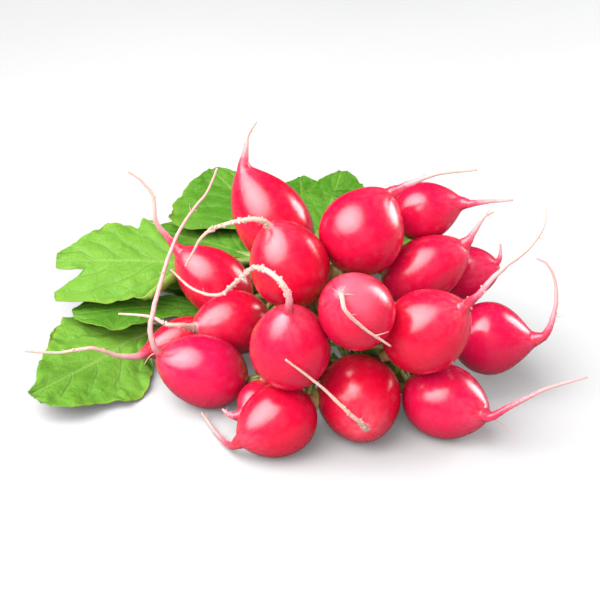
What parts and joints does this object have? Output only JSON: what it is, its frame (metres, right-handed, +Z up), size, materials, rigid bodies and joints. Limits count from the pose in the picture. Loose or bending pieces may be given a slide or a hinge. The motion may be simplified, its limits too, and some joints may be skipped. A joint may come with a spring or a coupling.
{
  "type": "bunch of radishes",
  "caption": "Bunch of round red radishes with long thin tails lying on a table, roots piled at the front, leaf stalks banded behind and green blades spread out.",
  "frame": {"origin": "centre of the bounding box's bottom face, on the table the bunch lies on", "axes": "+Z up from the table, the pictured side with the roots faces -Y, the leaves lie towards +Y, +X to the right"},
  "size_m": [0.2022, 0.1961, 0.0942],
  "materials": {
    "radish_skin": "smooth glossy crimson skin, pale at the tail",
    "leaf": "soft green leaf with paler veins",
    "band": "plain tan rubber"
  },
  "bodies": {
    "root": {"root_01": "radish_skin", "leaf_01": "leaf", "root_02": "radish_skin", "leaf_02": "leaf", "root_03": "radish_skin", "leaf_03": "leaf", "root_04": "radish_skin", "leaf_04": "leaf", "root_05": "radish_skin", "leaf_05": "leaf", "root_06": "radish_skin", "leaf_06": "leaf", "root_07": "radish_skin", "leaf_07": "leaf", "root_08": "radish_skin", "leaf_08": "leaf", "root_09": "radish_skin", "leaf_09": "leaf", "root_10": "radish_skin", "leaf_10": "leaf", "root_11": "radish_skin", "leaf_11": "leaf", "root_12": "radish_skin", "leaf_12": "leaf", "root_13": "radish_skin", "leaf_13": "leaf", "root_14": "radish_skin", "leaf_14": "leaf", "root_15": "radish_skin", "leaf_15": "leaf", "root_16": "radish_skin", "leaf_16": "leaf", "root_17": "radish_skin", "leaf_17": "leaf", "root_18": "radish_skin", "leaf_18": "leaf", "band": "band"}
  },
  "joints": []
}
